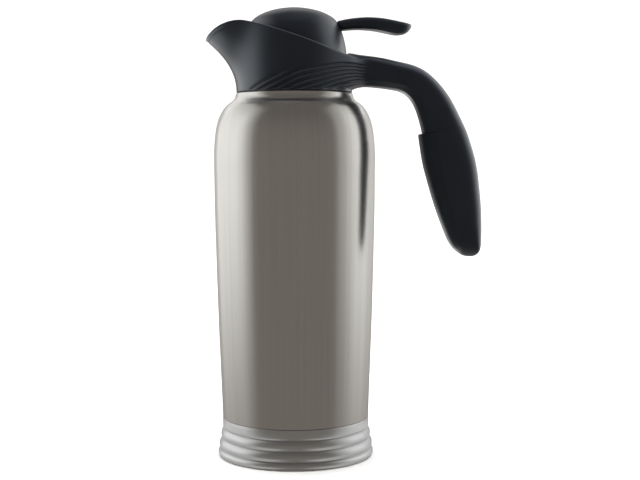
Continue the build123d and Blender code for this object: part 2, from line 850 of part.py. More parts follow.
def parts():
    grip_whole = grip()
    return {
        "outer_shell": outer_shell(),
        "inner_flask": inner_flask(),
        "foil_wrap": foil_wrap(),
        "shell_bottom": shell_bottom(),
        "vacuum_seal": vacuum_seal(),
        "getter": getter(),
        "base_ring": base_ring(),
        "base_cup": base_cup(),
        "foot_pad": foot_pad(),
        "mouth_gasket": mouth_gasket(),
        "pour_head": pour_head(grip_whole),
        "grip_pad": grip_pad(grip_whole),
        "neck_insert": neck_insert(),
        "hinge_pin": hinge_pin(),
        "lid_spring": lid_spring(),
        "lid_dome": lid_dome(),
        "thumb_lever": thumb_lever(),
        "lever_screws": lever_screws(),
        "lid_plug": lid_plug(),
        "lid_seal": lid_seal(),
        "lid_foam": lid_foam(),
    }


def main():
    os.makedirs("parts", exist_ok=True)
    for name, shape in parts().items():
        export_step(shape, f"parts/{name}.step")


main()
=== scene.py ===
"""Looks of the thermal carafe: smooth pieces, finishes, studio and camera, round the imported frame."""
import json
import math

import bpy
import numpy as np
from mathutils import Matrix, Vector


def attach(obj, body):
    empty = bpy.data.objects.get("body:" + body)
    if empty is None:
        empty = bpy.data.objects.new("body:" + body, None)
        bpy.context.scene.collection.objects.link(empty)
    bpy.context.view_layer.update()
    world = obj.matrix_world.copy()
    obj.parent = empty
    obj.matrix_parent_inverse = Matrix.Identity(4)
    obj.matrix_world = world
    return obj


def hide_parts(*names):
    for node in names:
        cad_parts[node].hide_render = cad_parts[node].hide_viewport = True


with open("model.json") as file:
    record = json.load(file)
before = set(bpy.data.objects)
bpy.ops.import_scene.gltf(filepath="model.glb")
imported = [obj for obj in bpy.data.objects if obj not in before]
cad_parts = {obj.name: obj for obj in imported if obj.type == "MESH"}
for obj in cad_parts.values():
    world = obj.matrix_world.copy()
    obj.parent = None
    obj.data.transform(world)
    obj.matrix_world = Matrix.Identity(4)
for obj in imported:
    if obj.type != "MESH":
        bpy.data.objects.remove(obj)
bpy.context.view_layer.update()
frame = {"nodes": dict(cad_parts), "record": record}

MM = 0.001

SHARP_DEG = 35
TURN_SEGMENTS = 256

# Sizes of the pieces are in millimetres, in the frame's axes: +Z up, spout towards -X, handle towards +X.
# Side outlines are lists of (x, z), outlines of turned pieces lists of (radius, z).

# ---- collar and spout ----
COLLAR_R = 39.85
COLLAR_Z = 251.3
COLLAR_WALL = 2.0
BORE_R = 37.45
COLLAR_FOOT_ROUND = 0.8
FLOOR_Z = 268.5            # pouring floor; the bore below it runs into it by BORE_LAP
BORE_LAP = 0.2
SPOUT_TIP_X = -61.6
SPOUT_TIP_Z = 287.6
SPOUT_SHARPNESS = 20       # more is narrower in plan
SPOUT_FLARE = 2.15         # power by which the spout grows with height
TAIL_REACH = 11.6          # the collar's back runs out into a tail that meets the arm
TAIL_SHARPNESS = 14
TAIL_LOW_Z = (252.8, 257.8)
RIM = [(-61.6, 286.8), (-58.4, 290.1), (-51.4, 295.0), (-42.0, 298.3), (-35.0, 298.7), (-27.0, 297.0),
       (-3.4, 289.6), (26.5, 279.0), (40.0, 274.0), (56.0, 269.6)]
RIM_EDGE = 1.3
LIP_W = 2.5               # rolled lip round the front of the spout, parted by a fine groove
LIP_GROOVE = (0.5, 0.45)  # its depth and half width
LIP_FADE = (-50.0, -42.0)
BLEND = (2.5, 6.0)        # rounding between collar and arm: at the arm's underside and at its top
BLEND_Z = (258.0, 268.0)

# ---- ridges on the collar's sides, counted downwards from a line by a distance that changes along x ----
RIDGE_LINE = [(-30.0, 246.2), (-20.6, 251.2), (-8.3, 257.0), (2.2, 262.0), (17.9, 265.9), (36.1, 268.6),
              (46.1, 268.2), (70.0, 267.1)]
RIDGE_PITCH = [(-30.0, 3.8), (3.0, 3.9), (14.0, 3.55), (21.0, 3.2), (33.0, 2.65), (40.0, 2.25), (70.0, 1.9)]
RIDGE_DEPTH = 1.15
RIDGE_RISE = 0.62                # share of the pitch over which a flute deepens
RIDGE_FIRST = (-1.1, -0.3)       # counts over which the ridges begin
RIDGE_UPPER = (-2.1, -1.3)       # the same for the upper one, which is on the spout's side only
RIDGE_UPPER_X = (-14.0, 4.0)     # and ends over these x
RIDGE_LAST = (5.4, 6.2)          # counts over which they end
RIDGE_BEGIN_X = (-34.0, -24.0)
RIDGE_FADE_X = (43.0, 52.0)
RIDGE_FOOT = (0.2, 1.6)          # heights above the collar's edge over which they begin

# ---- arm and grip: side outlines ----
HANDLE_OUTER = [(26.0, 279.6), (35.9, 277.9), (45.0, 276.7), (58.5, 275.1), (71.5, 272.4), (82.4, 269.6),
                (88.5, 266.8), (94.3, 262.6), (99.8, 257.1), (105.2, 250.3), (110.2, 242.1), (114.3, 233.9),
                (118.1, 225.8), (121.5, 216.2), (125.0, 203.9), (127.4, 187.4), (128.9, 170.8), (129.2, 156.2),
                (128.9, 147.0), (128.0, 142.4), (125.6, 139.2), (122.0, 138.1)]
ARM_INNER = [(26.0, 254.8), (40.0, 255.1), (49.6, 255.4), (57.0, 254.8), (66.8, 253.5), (73.3, 251.8),
             (78.1, 248.8), (81.5, 244.5), (84.2, 238.8), (86.4, 231.9), (88.1, 225.1), (90.0, 214.0),
             (92.9, 200.0)]
GRIP_INNER = [(81.6, 246.0), (83.7, 234.0), (85.3, 223.2), (86.5, 214.5), (88.2, 204.1), (91.3, 191.6),
              (94.9, 179.2), (99.0, 166.7), (103.8, 154.3), (107.6, 146.3), (110.7, 142.6), (114.4, 139.8),
              (118.6, 138.2), (122.0, 138.1)]
ARM_ROOT_X = 28.0
ARM_HALF_W = 13.0
# Half width of the grip by height.
GRIP_HALF_W = [(137.9, 0.5), (138.05, 2.0), (138.5, 3.9), (139.7, 6.7), (142.3, 9.7), (147.3, 11.7),
               (159.0, 12.9), (172.0, 13.4), (187.0, 13.6), (201.0, 13.5), (212.0, 13.3), (226.0, 13.1),
               (250.0, 13.1)]
# Powers of the rounded sections: 2 is an ellipse, more is squarer. The arm's back changes along x.
CROWN = [(26.0, 5.0), (45.0, 4.8), (60.0, 4.0), (74.0, 3.3), (90.0, 2.9), (140.0, 2.9)]
GRIP_CROWN = 2.9
GRIP_BELLY = 3.2
BEVEL_W = 4.4             # the arm's underside has bevelled edges of this width and height
BEVEL_H = 4.2
BEVEL_ROUND = (0.8, 1.4)
BACK_BELLY_BLEND = 0.12   # the two halves of a section blend over this share of its half depth
LEAST_DEPTH = 0.5
STEP_A = (84.6, 222.5)    # ends of the step between arm and grip
STEP_B = (118.4, 227.4)
ARM_STEP_ROUND = 0.15
GRIP_STEP_ROUND = 0.3
PAD_STEP_ROUND = 0.9
PAD_BACK = [(97.5, 230.0), (99.0, 212.0), (102.0, 194.0), (107.0, 172.0), (111.0, 153.0), (110.0, 144.5),
            (103.5, 140.0)]
PAD_SINK = 0.8            # the grip runs on that deep under the soft pad
PAD_SINK_RUN = (0.1, 1.6)

# ---- lid ----
DOME = [(0.0, 309.5), (14.0, 307.8), (24.0, 304.1), (29.6, 299.6), (33.0, 292.3), (35.2, 284.0), (36.4, 273.4)]
DOME_WALL = 2.2
DOME_BOTTOM_Z = 273.4
DOME_OPEN = 5.0           # the dome's hollow is cut that far past its lower edge
PIN_X = 40.0
PIN_Z = 274.4
PIN_R = 1.5
BEARING_HALF_W = 10.6
KNUCKLE_R = 3.3
LUG_HALF_W = 7.2
LUG_BITE = 0.5            # the lugs run that far into the dome's wall
WEB_HALF = (3.0, 2.7)     # half length and half height of the web from a lug to the dome
WEB_DROP = 0.3
WEB_ROUND = 1.0
LUG_ROUND = 0.8
SPRING_HALF_W = 2.7
POCKET_GAP = 0.45
POCKET_RUN = 4.0          # the pocket's middle stands that far before the pin, its ends as much further apart
POCKET_ROUND = 0.6
LEVER_TOP = [(20.0, 296.8), (26.0, 298.9), (38.0, 301.6), (50.0, 302.5), (62.6, 301.4), (72.3, 299.5),
             (79.8, 297.9)]
LEVER_TIP = [(79.8, 297.9), (80.5, 297.2), (80.4, 295.7), (79.3, 294.0), (77.7, 292.6), (75.6, 291.5),
             (73.4, 291.0)]
LEVER_UNDER = [(73.4, 291.0), (70.2, 290.8), (63.6, 291.9), (54.0, 293.7), (44.0, 294.4), (34.0, 293.8),
               (20.0, 291.3)]
LEVER_HALF_W = [(20.0, 8.0), (42.0, 8.0), (60.0, 9.5), (72.0, 9.4), (77.0, 8.4), (80.0, 6.2), (81.4, 3.5)]
LEVER_EDGE = 4.6
LEVER_SEAM = 0.3
LEVER_SEAM_ROUND = 0.5

# ---- steel body and foot ring ----
BODY_LOW_Z = 27.25
BODY = [(50.8, BODY_LOW_Z), (51.4, 44.0), (52.5, 72.0), (53.5, 100.0), (54.3, 128.0), (55.0, 156.0),
        (55.4, 176.0), (55.6, 198.0), (55.7, 205.0), (55.1, 218.6), (54.3, 225.5), (53.1, 231.0),
        (50.95, 236.5), (49.4, 239.2), (47.3, 242.0), (44.2, 244.6), (42.3, 246.0), (41.15, 247.5),
        (40.6, 249.0), (40.4, 250.0)]
NECK_R = 40.4
NECK_TOP_Z = 250.9
NECK_ROUND = [(0.0, 0.6), (0.06, 0.5), (0.24, 0.24), (0.5, 0.06), (0.8, 0.0)]  # top edge: inwards, down
STEEL = 0.7
THREAD_R = 34.0
MOUTH_Z = 263.0
SLEEVE_R = 49.2           # the steel inside the foot ring
SLEEVE_LOW_Z = 3.2
RING_BAND = [(49.3, 27.0), (50.6, 27.0), (50.83, 26.92), (50.9, 26.7), (50.9, 21.2), (50.86, 20.7),
             (50.7, 20.2), (50.45, 19.8)]
RIB_VALLEYS = [(50.2, 19.4), (51.3, 12.5), (52.5, 5.4), (53.0, 0.6)]
RIB_PEAK_R = [52.1, 53.35, 54.05]
RIB_PEAK_SHARE = 0.62     # the widest place of a rib, as a share of its way down
RING_FOOT = [(51.3, 0.6), (51.3, 3.0), (49.3, 3.0)]


# ---------------------------------------------------------------- curves and fields
def spline(points, per_span=14):
    """Points along a natural cubic through the given ones."""
    p = np.array(points, float)
    t = np.concatenate([[0.0], np.cumsum(np.linalg.norm(np.diff(p, axis=0), axis=1))])
    h = np.diff(t)
    count = len(p)
    system = np.eye(count)
    right = np.zeros_like(p)
    for i in range(1, count - 1):
        system[i, i - 1:i + 2] = h[i - 1], 2 * (h[i - 1] + h[i]), h[i]
        right[i] = 6 * ((p[i + 1] - p[i]) / h[i] - (p[i] - p[i - 1]) / h[i - 1])
    bend = np.linalg.solve(system, right)
    out = []
    for i in range(count - 1):
        s = np.linspace(0, 1, per_span, endpoint=False)[:, None]
        r = 1 - s
        bow = (r ** 3 - r) * bend[i] + (s ** 3 - s) * bend[i + 1]
        out.append(r * p[i] + s * p[i + 1] + h[i] ** 2 / 6 * bow)
    return np.vstack(out + [p[-1:]])


def along(points, values):
    """A smooth single-valued curve y(x) read at values."""
    curve = spline(points)
    return np.interp(values, curve[:, 0], curve[:, 1]).astype(np.float32)


def curve_distance(x, z, curve):
    """Distance to a line of points, positive on its left."""
    best = np.full(np.broadcast(x, z).shape, 1e9, np.float32)
    side = np.ones_like(best)
    for (ax, az), (bx, bz) in zip(curve, curve[1:]):
        dx, dz = bx - ax, bz - az
        share = np.clip(((x - ax) * dx + (z - az) * dz) / (dx * dx + dz * dz + 1e-12), 0, 1)
        gap = np.hypot(x - ax - share * dx, z - az - share * dz)
        nearer = gap < best - 1e-5
        best = np.where(nearer, gap, best)
        side = np.where(nearer, np.sign(dx * (z - az) - dz * (x - ax)), side)
    return (best * side).astype(np.float32)


def three_point_arc(a, b, c, count=16):
    """Points on the arc from a through b to c, without c."""
    (ax, ay), (bx, by), (cx, cy) = a, b, c
    aa, bb, cc = ax * ax + ay * ay, bx * bx + by * by, cx * cx + cy * cy
    d = 2 * (ax * (by - cy) + bx * (cy - ay) + cx * (ay - by))
    ux = (aa * (by - cy) + bb * (cy - ay) + cc * (ay - by)) / d
    uy = (aa * (cx - bx) + bb * (ax - cx) + cc * (bx - ax)) / d
    radius = math.hypot(ax - ux, ay - uy)
    start = math.atan2(ay - uy, ax - ux)
    middle, end = ((math.atan2(y - uy, x - ux) - start + math.pi) % (2 * math.pi) - math.pi for x, y in (b, c))
    if middle * end < 0 or abs(end) < abs(middle):
        end += math.copysign(2 * math.pi, middle)
    turns = [start + end * i / count for i in range(count)]
    return [(ux + radius * math.cos(turn), uy + radius * math.sin(turn)) for turn in turns]


def smooth_max(a, b, width):
    """Larger of two fields, rounded where they meet within width."""
    near = np.maximum(width - np.abs(a - b), 0) / width
    return np.maximum(a, b) + near * near * width / 4


def smooth_min(a, b, width):
    """Smaller of two fields, rounded in the same way."""
    return -smooth_max(-a, -b, width)


def ease(value, low, high):
    """0 below low, 1 above high, smooth between."""
    share = np.clip((value - low) / (high - low), 0, 1)
    return share * share * (3 - 2 * share)


def grid(low, high, step):
    """Node coordinates of a grid that is mirrored about y = 0, so only y > 0 is worked out."""
    x = np.arange(low[0], high[0] + step, step, dtype=np.float32)
    y = np.arange(step / 2, high[1] + step, step, dtype=np.float32)
    z = np.arange(low[2], high[2] + step, step, dtype=np.float32)
    return x[:, None, None], y[None, :, None], z[None, None, :]


def zero_surface(half, x, y, z, step):
    """Closed quad mesh of the field's zero surface.

    Each cell that the surface crosses gets a vertex, each crossed edge a face. half is the field for y > 0.
    """
    field = np.concatenate([half[:, ::-1, :], half], axis=1)
    start = np.array([x.ravel()[0], -y.ravel()[-1], z.ravel()[0]])
    shape = np.array(field.shape)
    strides = np.array([shape[1] * shape[2], shape[2], 1])
    flat = field.ravel()
    inside = flat < 0
    keys, points, faces = [], [], []
    for axis in range(3):
        a, b = (axis + 1) % 3, (axis + 2) % 3
        last = shape[axis] - 1
        lower = np.take(inside.reshape(field.shape), range(0, last), axis)
        upper = np.take(inside.reshape(field.shape), range(1, last + 1), axis)
        nodes = np.argwhere(lower != upper)
        index = nodes @ strides
        f0, f1 = flat[index], flat[index + strides[axis]]
        place = nodes.astype(float)
        place[:, axis] += f0 / (f0 - f1)
        ring = np.stack([index, index - strides[a], index - strides[a] - strides[b], index - strides[b]], 1)
        ring[~inside[index]] = ring[~inside[index]][:, ::-1]
        faces.append(ring)
        keys.append(ring.ravel())
        points.append(np.repeat(place, 4, axis=0))
    keys = np.concatenate(keys)
    points = np.concatenate(points)
    cells, where = np.unique(keys, return_inverse=True)
    count = np.bincount(where)
    vertices = np.stack([np.bincount(where, points[:, i]) / count for i in range(3)], 1)
    quads = np.searchsorted(cells, np.vstack(faces))
    return start + vertices * step, quads


def mesh_object(name, vertices, faces, sharp_deg=None):
    """A shaded mesh object from vertices in millimetres."""
    mesh = bpy.data.meshes.new(name)
    corners = faces if isinstance(faces, list) else faces.tolist()
    mesh.from_pydata((np.asarray(vertices) * MM).tolist(), [], corners)
    mesh.update()
    mesh.shade_smooth()
    if sharp_deg is not None:
        mesh.set_sharp_from_angle(angle=math.radians(sharp_deg))
    obj = bpy.data.objects.new(name, mesh)
    bpy.context.scene.collection.objects.link(obj)
    return obj


def moulded(name, field, low, high, step):
    """A moulded piece from its field, a function of x, y and z that is negative inside."""
    x, y, z = grid(low, high, step)
    vertices, quads = zero_surface(field(x, y, z).astype(np.float32), x, y, z, step)
    return mesh_object(name, vertices, quads)


def turned(name, outline, sharp_deg=SHARP_DEG):
    """A piece turned about Z from a closed outline that stays clear of the axis."""
    turns = [2 * math.pi * i / TURN_SEGMENTS for i in range(TURN_SEGMENTS)]
    vertices = [(r * math.cos(turn), r * math.sin(turn), z) for r, z in outline for turn in turns]
    faces = []
    for k in range(len(outline)):
        lower = k * TURN_SEGMENTS
        upper = (k + 1) % len(outline) * TURN_SEGMENTS
        for i in range(TURN_SEGMENTS):
            j = (i + 1) % TURN_SEGMENTS
            faces.append([lower + i, lower + j, upper + j, upper + i])
    return mesh_object(name, vertices, faces, sharp_deg)


# ---------------------------------------------------------------- pour head
def plan_shares(x, y):
    """Distance from the axis, and how much of the spout and of the tail stands in that direction, 0 to 1."""
    rho = np.hypot(x, y) + 1e-4
    cosine = -x / rho
    front = ((1 + cosine) / 2) ** SPOUT_SHARPNESS
    back = ((1 - cosine) / 2) ** TAIL_SHARPNESS
    return rho, front, back


def flared(rho, front, z, radius):
    """Distance from the wall that is a circle of that radius grown into the spout."""
    reach = -SPOUT_TIP_X - COLLAR_R
    height = SPOUT_TIP_Z - COLLAR_Z
    share = np.clip((z - COLLAR_Z) / height, 1e-3, 3)
    climb = reach * SPOUT_FLARE * share ** (SPOUT_FLARE - 1) / height
    return (rho - radius - reach * share ** SPOUT_FLARE * front) / np.sqrt(1 + (climb * front) ** 2)


def above_rim(x, z):
    """Distance above the head's rim curve, which runs on straight before the spout's tip."""
    curve = spline(RIM)
    height = np.interp(x, curve[:, 0], curve[:, 1])
    tip_slope = (RIM[1][1] - RIM[0][1]) / (RIM[1][0] - RIM[0][0])
    height = np.where(x < RIM[0][0], RIM[0][1] + tip_slope * (x - RIM[0][0]), height)
    slope = np.gradient(height.ravel(), x.ravel()).reshape(height.shape)
    return (z - height) / np.sqrt(1 + slope ** 2)


def ridges(x, z):
    """Depth of the fluted ridges on the collar's side, which run up from its lower edge towards the arm."""
    count = (along(RIDGE_LINE, x) - z) / along(RIDGE_PITCH, x)
    share = count - np.floor(count)
    flute = ease(np.where(share < RIDGE_RISE, share / RIDGE_RISE, (1 - share) / (1 - RIDGE_RISE)), 0, 1)
    upper = ease(count, *RIDGE_UPPER) * (1 - ease(x, *RIDGE_UPPER_X))
    mask = np.maximum(ease(count, *RIDGE_FIRST), upper) * (1 - ease(count, *RIDGE_LAST))
    mask = mask * ease(x, *RIDGE_BEGIN_X) * (1 - ease(x, *RIDGE_FADE_X)) * ease(z - COLLAR_Z, *RIDGE_FOOT)
    return RIDGE_DEPTH * flute * mask


def lip_groove(x, rim):
    """Depth of the fine groove that parts the rolled lip from the spout's cheek."""
    depth, half_width = LIP_GROOVE
    return depth * np.exp(-((rim + LIP_W) / half_width) ** 2) * (1 - ease(x, *LIP_FADE))


def handle_section(x, y, z, inner, width, crown, bevelled):
    """Field of the arm or the grip from two side outlines: a rounded back, a bevelled or rounded belly."""
    outer_gap = -curve_distance(x, z, spline(HANDLE_OUTER))
    inner_gap = curve_distance(x, z, spline(inner))
    depth = np.maximum(outer_gap + inner_gap, LEAST_DEPTH)
    lift = (inner_gap - outer_gap) / depth
    size = np.minimum(width, depth / 2)
    across = np.abs(y) / width

    def rounded(power):
        return ((across ** power + np.abs(lift) ** power) ** (1 / power) - 1) * size

    if bevelled:
        side = np.abs(y) - width
        cut = (side * BEVEL_H - inner_gap * BEVEL_W + BEVEL_W * BEVEL_H) / math.hypot(BEVEL_W, BEVEL_H)
        belly = smooth_max(smooth_max(side, -inner_gap, BEVEL_ROUND[0]), cut, BEVEL_ROUND[1])
    else:
        belly = rounded(GRIP_BELLY)
    blend = ease(lift, -BACK_BELLY_BLEND, BACK_BELLY_BLEND)
    return rounded(crown) * blend + belly * (1 - blend)


def step_side(x, z):
    """Distance above the step plane between arm and grip."""
    run = np.array(STEP_B) - np.array(STEP_A)
    run = run / np.linalg.norm(run)
    return -(x - STEP_A[0]) * run[1] + (z - STEP_A[1]) * run[0]


def grip_field(x, y, z):
    """The grip with its pad, without the cut at the step."""
    grip = handle_section(x, y, z, GRIP_INNER, along(GRIP_HALF_W, z), GRIP_CROWN, False)
    return np.maximum(grip, GRIP_INNER[-1][1] - z)


def pad_side(x, z):
    """Distance beyond the line that parts the soft pad from the grip, negative on the pad's side."""
    return curve_distance(x, z, spline(PAD_BACK))


def head_field(x, y, z):
    """The whole pour head: collar with spout, arm and grip, opened by the channel, the bore and the hinge."""
    rho, front, back = plan_shares(x, y)
    rim = above_rim(x, z)
    collar = flared(rho, front, z, COLLAR_R) - TAIL_REACH * back * ease(z, *TAIL_LOW_Z)
    collar = smooth_max(collar, rim, RIM_EDGE)
    collar = smooth_max(collar, COLLAR_Z - z, COLLAR_FOOT_ROUND)

    step = step_side(x, z)
    arm = handle_section(x, y, z, ARM_INNER, ARM_HALF_W, along(CROWN, x), True)
    arm = np.maximum(smooth_max(arm, -step, ARM_STEP_ROUND), ARM_ROOT_X - x)
    body = smooth_min(collar, arm, BLEND[0] + (BLEND[1] - BLEND[0]) * ease(z, *BLEND_Z))
    body = body + ridges(x, z) + lip_groove(x, rim)
    grip = smooth_max(grip_field(x, y, z), step, GRIP_STEP_ROUND)
    grip = grip + PAD_SINK * ease(-pad_side(x, z), *PAD_SINK_RUN)
    body = np.minimum(body, grip)

    channel = np.maximum(flared(rho, front, z, COLLAR_R - COLLAR_WALL), FLOOR_Z - z)
    body = smooth_max(body, -channel, RIM_EDGE)
    bore = np.maximum(rho - BORE_R, z - FLOOR_Z - BORE_LAP)
    body = np.maximum(body, -bore)
    reach = KNUCKLE_R + POCKET_GAP
    pocket = np.maximum(np.abs(x - PIN_X + POCKET_RUN) - reach - POCKET_RUN, PIN_Z - reach - z)
    pocket = np.maximum(np.abs(y) - LUG_HALF_W - POCKET_GAP, pocket)
    body = smooth_max(body, -pocket, POCKET_ROUND)
    bearing = np.maximum(np.hypot(x - PIN_X, z - PIN_Z) - PIN_R, np.abs(y) - BEARING_HALF_W)
    return np.maximum(body, -bearing)


def pour_head():
    head = moulded("pour_head_form", head_field, (-64.5, 0, 135.5), (132.5, 42.0, 299.5), 0.5)
    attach(head, "head")
    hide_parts("pour_head")
    return head


def grip_pad():
    def field(x, y, z):
        pad = smooth_max(grip_field(x, y, z), step_side(x, z), PAD_STEP_ROUND)
        return np.maximum(pad, pad_side(x, z))

    pad = moulded("grip_pad_form", field, (82.0, 0, 136.0), (114.0, 15.0, 226.0), 0.4)
    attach(pad, "head")
    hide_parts("grip_pad")
    return pad


# ---------------------------------------------------------------- lid
def dome_curve():
    """The dome's outline, carried past its apex so that it is level there."""
    mirrored = [(-r, z) for r, z in DOME[:0:-1]]
    below = (DOME[-1][0] + 0.4, DOME_BOTTOM_Z - 8.0)
    return spline(mirrored + DOME + [below], 20)


def outside_dome(x, y, z):
    """Distance outside the dome's surface, read from a fine table in radius and height."""
    step, reach = 0.2, 50
    r = np.arange(0, reach, step)
    table = curve_distance(r[:, None], z.ravel()[None, :], dome_curve())
    rho = np.hypot(x, y)[:, :, 0] / step
    low = np.clip(rho.astype(int), 0, len(r) - 2)
    share = (rho - low)[..., None]
    return table[low] * (1 - share) + table[low + 1] * share


def lid_dome():
    def field(x, y, z):
        outside = outside_dome(x, y, z)
        hollow = np.maximum(outside + DOME_WALL, DOME_BOTTOM_Z - DOME_OPEN - z)
        shell = np.maximum(np.maximum(outside, DOME_BOTTOM_Z - z), -hollow)
        lug = np.hypot(x - PIN_X, z - PIN_Z) - KNUCKLE_R
        web_x = np.abs(x - PIN_X + WEB_HALF[0]) - WEB_HALF[0]
        web_z = np.abs(z - PIN_Z + WEB_DROP) - WEB_HALF[1]
        lug = smooth_min(lug, np.maximum(web_x, web_z), WEB_ROUND)
        lug = np.maximum(lug, np.maximum(np.abs(y) - LUG_HALF_W, SPRING_HALF_W - np.abs(y)))
        lug = np.maximum(lug, -(outside + LUG_BITE))
        return smooth_min(shell, lug, LUG_ROUND)

    dome = moulded("lid_dome_form", field, (-38.0, 0, 270.0), (45.0, 38.0, 310.5), 0.45)
    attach(dome, "lid")
    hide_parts("lid_dome")
    return dome


def thumb_lever():
    def field(x, y, z):
        outline = np.vstack([spline(LEVER_TOP), spline(LEVER_TIP)[1:], spline(LEVER_UNDER)[1:]])
        side = curve_distance(x, z, outline)
        plan = np.abs(y) - along(LEVER_HALF_W, x)
        blade = smooth_max(side, plan, LEVER_EDGE)
        return smooth_max(blade, LEVER_SEAM - outside_dome(x, y, z), LEVER_SEAM_ROUND)

    lever = moulded("thumb_lever_form", field, (26.0, 0, 287.0), (83.0, 11.5, 305.0), 0.35)
    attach(lever, "lid")
    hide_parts("thumb_lever")
    return lever


# ---------------------------------------------------------------- steel
def inward(points, distance):
    """Points of a line moved towards the axis, square to it."""
    p = np.array(points, float)
    run = np.gradient(p, axis=0)
    run = run / np.linalg.norm(run, axis=1)[:, None]
    return p + np.stack([-run[:, 1], run[:, 0]], 1) * distance


def outer_shell():
    side = spline(BODY, 8)
    neck = [(NECK_R - inset, NECK_TOP_Z - drop) for inset, drop in NECK_ROUND]
    mouth = [(THREAD_R, NECK_TOP_Z), (THREAD_R, MOUTH_Z - STEEL), (THREAD_R - STEEL, MOUTH_Z - STEEL),
             (THREAD_R - STEEL, NECK_TOP_Z - STEEL), (NECK_R - STEEL, NECK_TOP_Z - STEEL)]
    sleeve = [(SLEEVE_R - STEEL, BODY_LOW_Z + STEEL), (SLEEVE_R - STEEL, SLEEVE_LOW_Z),
              (SLEEVE_R, SLEEVE_LOW_Z), (SLEEVE_R, BODY_LOW_Z)]
    inside = inward(side, STEEL)[::-1]
    shell = turned("outer_shell_form", [*side.tolist(), *neck, *mouth, *inside.tolist(), *sleeve])
    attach(shell, "flask")
    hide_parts("outer_shell")
    return shell


def base_ring():
    outline = list(RING_BAND)
    for peak_r, high, low in zip(RIB_PEAK_R, RIB_VALLEYS, RIB_VALLEYS[1:]):
        peak_z = high[1] + RIB_PEAK_SHARE * (low[1] - high[1])
        outline += three_point_arc(high, (peak_r, peak_z), low)
    outline += [RIB_VALLEYS[-1], *RING_FOOT]
    ring = turned("base_ring_form", outline, sharp_deg=60)
    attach(ring, "flask")
    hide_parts("base_ring")
    return ring


# ---------------------------------------------------------------- materials
def shader(name, **values):
    """A node material and its Principled shader, with constants on the shader's own sockets."""
    material = bpy.data.materials.new(name)
    material.use_nodes = True
    principled = material.node_tree.nodes["Principled BSDF"]
    for key, value in values.items():
        principled.inputs[key.replace("_", " ")].default_value = value
    return material, principled


def node(material, kind, **values):
    """A new node; each value sets a property of that name or else the input of that name."""
    made = material.node_tree.nodes.new(kind)
    for key, value in values.items():
        if hasattr(made, key):
            setattr(made, key, value)
        else:
            made.inputs[key.replace("_", " ")].default_value = value
    return made


def link(material, a, b):
    material.node_tree.links.new(a, b)


def ramp(material, source, stops):
    """Colour that follows the source: pairs of a place and a colour."""
    made = node(material, "ShaderNodeValToRGB")
    elements = made.color_ramp.elements
    while len(elements) < len(stops):
        elements.new(0.5)
    for element, (place, colour) in zip(elements, stops):
        element.position = place
        element.color = (*colour, 1.0)
    link(material, source, made.inputs["Fac"])
    return made.outputs["Color"]


def round_body(material):
    """Object coordinates as (angle in radians, 0, height in metres), for grain that follows a turned body."""
    place = node(material, "ShaderNodeTexCoord")
    split = node(material, "ShaderNodeSeparateXYZ")
    link(material, place.outputs["Object"], split.inputs[0])
    turn = node(material, "ShaderNodeMath", operation="ARCTAN2")
    link(material, split.outputs["Y"], turn.inputs[0])
    link(material, split.outputs["X"], turn.inputs[1])
    joined = node(material, "ShaderNodeCombineXYZ")
    link(material, turn.outputs[0], joined.inputs["X"])
    link(material, split.outputs["Z"], joined.inputs["Z"])
    return joined.outputs[0]


def stretched_noise(material, vector, scale, detail=3.0, roughness=0.6):
    """Noise with its own scale along each axis of the vector."""
    mapping = node(material, "ShaderNodeMapping")
    mapping.inputs["Scale"].default_value = scale
    link(material, vector, mapping.inputs["Vector"])
    noise = node(material, "ShaderNodeTexNoise", Scale=1.0, Detail=detail, Roughness=roughness)
    link(material, mapping.outputs[0], noise.inputs["Vector"])
    return noise.outputs["Fac"]


def gloss_between(material, principled, source, low, high):
    """Roughness that follows the source from low to high."""
    rough = node(material, "ShaderNodeMapRange", To_Min=low, To_Max=high)
    link(material, source, rough.inputs["Value"])
    link(material, rough.outputs[0], principled.inputs["Roughness"])


def bumpy(material, principled, source, strength, distance):
    bump = node(material, "ShaderNodeBump", Strength=strength, Distance=distance)
    link(material, source, bump.inputs["Height"])
    link(material, bump.outputs[0], principled.inputs["Normal"])


def brushed_steel():
    """Satin steel with fine vertical brushing."""
    material, principled = shader("brushed_steel", Metallic=1.0, Anisotropic=0.5, Anisotropic_Rotation=0.25)
    where = round_body(material)
    fine = stretched_noise(material, where, (420.0, 1.0, 9.0), 4.0, 0.7)
    broad = stretched_noise(material, where, (26.0, 1.0, 3.0), 2.0, 0.5)
    broad_share = 0.35
    mixed = node(material, "ShaderNodeMath", operation="MULTIPLY_ADD")
    link(material, broad, mixed.inputs[0])
    mixed.inputs[1].default_value = broad_share
    link(material, fine, mixed.inputs[2])
    colour = ramp(material, mixed.outputs[0], [(0.45, (0.60, 0.60, 0.575)), (0.9, (0.70, 0.70, 0.67))])
    link(material, colour, principled.inputs["Base Color"])
    gloss_between(material, principled, fine, 0.19, 0.29)
    tangent = node(material, "ShaderNodeTangent", direction_type="RADIAL", axis="Z")
    link(material, tangent.outputs[0], principled.inputs["Tangent"])
    bumpy(material, principled, fine, 0.06, 0.0003)
    return material


def polished_steel():
    """Bright turned steel with fine rings."""
    material, principled = shader("polished_steel", Metallic=1.0)
    fine = stretched_noise(material, round_body(material), (3.0, 1.0, 900.0), 3.0)
    colour = ramp(material, fine, [(0.3, (0.575, 0.595, 0.60)), (0.7, (0.635, 0.655, 0.66))])
    link(material, colour, principled.inputs["Base Color"])
    gloss_between(material, principled, fine, 0.25, 0.33)
    return material


